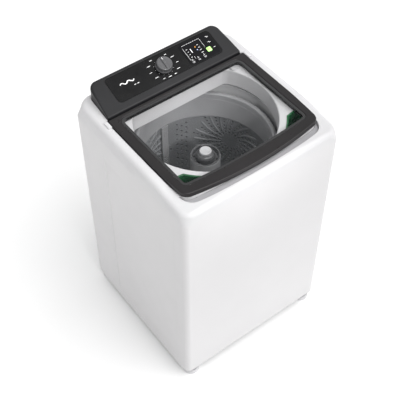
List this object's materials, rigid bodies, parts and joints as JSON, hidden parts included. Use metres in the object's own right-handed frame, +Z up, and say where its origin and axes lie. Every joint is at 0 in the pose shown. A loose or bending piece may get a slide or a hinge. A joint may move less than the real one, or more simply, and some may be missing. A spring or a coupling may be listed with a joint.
{
  "type": "top load washing machine",
  "caption": "Upright washing machine with a hinged glazed lid over the wash opening, a sloping control console behind it, and a spring-hung tub with basket, agitator and belt drive.",
  "frame": {"origin": "on the floor under the middle of the cabinet", "axes": "+Z up, front of the machine towards -Y, +X to the right of someone facing it"},
  "size_m": [0.62, 0.608, 1.0279],
  "materials": {
    "white_enamel": "satin",
    "galvanised_steel": "satin",
    "bright_steel": "polished",
    "cast_aluminium": "matte",
    "white_plastic": "satin",
    "charcoal_plastic": "satin",
    "gloss_black": "gloss",
    "grey_plastic": "satin",
    "basket_plastic": "satin",
    "green_dispenser": "gloss",
    "green_board": "matte",
    "lit_green": "gloss",
    "black_rubber": "matte",
    "tinted_glass": "gloss"
  },
  "bodies": {
    "cabinet": {"cabinet_wrap": "white_enamel", "rear_panel": "galvanised_steel", "base_frame": "galvanised_steel", "top_cover": "white_plastic", "detergent_cup": "green_dispenser", "softener_cup": "green_dispenser", "water_fill_spout": "charcoal_plastic", "lid_lock": "charcoal_plastic", "lid_bumper_left": "black_rubber", "lid_bumper_right": "black_rubber", "hinge_pin_left": "bright_steel", "hinge_pin_right": "bright_steel", "console_housing": "charcoal_plastic", "console_fascia": "gloss_black", "display_window": "gloss_black", "selector_switch": "grey_plastic", "control_board": "green_board", "pressure_switch": "white_plastic", "water_inlet_valve": "grey_plastic", "cord_gland": "black_rubber", "drain_outlet": "grey_plastic", "capacitor": "white_plastic", "suspension_rod_front_left": "galvanised_steel", "suspension_rod_rear_left": "galvanised_steel", "suspension_rod_front_right": "galvanised_steel", "suspension_rod_rear_right": "galvanised_steel"},
    "lid": {"lid_frame": "charcoal_plastic", "lid_glass": "tinted_glass"},
    "selector_knob": {"selector_knob": "charcoal_plastic"},
    "start_button": {"start_button": "lit_green"},
    "option_key_1": {"option_key_1": "grey_plastic"},
    "option_key_2": {"option_key_2": "grey_plastic"},
    "option_key_3": {"option_key_3": "grey_plastic"},
    "foot_front_left": {"foot_front_left": "grey_plastic"},
    "foot_front_right": {"foot_front_right": "grey_plastic"},
    "foot_rear_left": {"foot_rear_left": "grey_plastic"},
    "foot_rear_right": {"foot_rear_right": "grey_plastic"},
    "tub": {"outer_tub": "grey_plastic", "tub_ring": "grey_plastic", "tub_seal": "black_rubber", "upper_bearing": "bright_steel", "lower_bearing": "bright_steel", "gearcase": "cast_aluminium", "motor_bracket": "galvanised_steel", "motor": "cast_aluminium", "drive_belt": "black_rubber", "drain_pump": "grey_plastic"},
    "basket": {"wash_basket": "basket_plastic", "basket_base": "basket_plastic", "balance_ring": "grey_plastic", "basket_hub": "cast_aluminium", "basket_shaft": "bright_steel", "lint_filter": "grey_plastic"},
    "agitator": {"agitator": "grey_plastic", "agitator_post": "grey_plastic", "agitator_shaft": "bright_steel", "agitator_dispenser": "charcoal_plastic", "agitator_cap": "grey_plastic"},
    "drive_pulley": {"drive_pulley": "cast_aluminium"},
    "motor_pulley": {"motor_pulley": "bright_steel"}
  },
  "joints": [
    {"name": "lid_hinge", "type": "hinge", "parent": "cabinet", "child": "lid", "pos_m": [0, 0.144, 0.964], "axis": [-1, 0, 0], "range_deg": [0, 98]},
    {"name": "selector_turn", "type": "hinge", "parent": "cabinet", "child": "selector_knob", "pos_m": [0, 0.23026, 0.99955], "axis": [0, -0.3099, 0.9508], "continuous": true},
    {"name": "start_press", "type": "slide", "parent": "cabinet", "child": "start_button", "axis": [0, 0.3099, -0.9508], "range_m": [0, 0.0012], "stiffness_N_per_m": 400},
    {"name": "option_key_1_press", "type": "slide", "parent": "cabinet", "child": "option_key_1", "axis": [0, 0.3099, -0.9508], "range_m": [0, 0.0008], "stiffness_N_per_m": 400},
    {"name": "option_key_2_press", "type": "slide", "parent": "cabinet", "child": "option_key_2", "axis": [0, 0.3099, -0.9508], "range_m": [0, 0.0008], "stiffness_N_per_m": 400},
    {"name": "option_key_3_press", "type": "slide", "parent": "cabinet", "child": "option_key_3", "axis": [0, 0.3099, -0.9508], "range_m": [0, 0.0008], "stiffness_N_per_m": 400},
    {"name": "tub_bounce", "type": "slide", "parent": "cabinet", "child": "tub", "axis": [0, 0, 1], "range_m": [-0.012, 0.01], "stiffness_N_per_m": 6500, "springref_m": 0.04232},
    {"name": "basket_spin", "type": "hinge", "parent": "tub", "child": "basket", "pos_m": [0, 0, 0.3], "axis": [0, 0, 1], "continuous": true},
    {"name": "agitator_spin", "type": "hinge", "parent": "tub", "child": "agitator", "pos_m": [0, 0, 0.3], "axis": [0, 0, 1], "continuous": true},
    {"name": "drive_spin", "type": "hinge", "parent": "tub", "child": "drive_pulley", "pos_m": [0, 0, 0.112], "axis": [0, 0, 1], "continuous": true},
    {"name": "motor_spin", "type": "hinge", "parent": "tub", "child": "motor_pulley", "pos_m": [0, -0.178, 0.112], "axis": [0, 0, 1], "continuous": true},
    {"name": "foot_front_left_screw", "type": "slide", "parent": "cabinet", "child": "foot_front_left", "axis": [0, 0, -1], "range_m": [0, 0.012]},
    {"name": "foot_rear_left_screw", "type": "slide", "parent": "cabinet", "child": "foot_rear_left", "axis": [0, 0, -1], "range_m": [0, 0.012]},
    {"name": "foot_front_right_screw", "type": "slide", "parent": "cabinet", "child": "foot_front_right", "axis": [0, 0, -1], "range_m": [0, 0.012]},
    {"name": "foot_rear_right_screw", "type": "slide", "parent": "cabinet", "child": "foot_rear_right", "axis": [0, 0, -1], "range_m": [0, 0.012]}
  ],
  "couplings": [
    {"joint": "motor_spin", "follows": "drive_spin", "ratio": 4.0055}
  ]
}
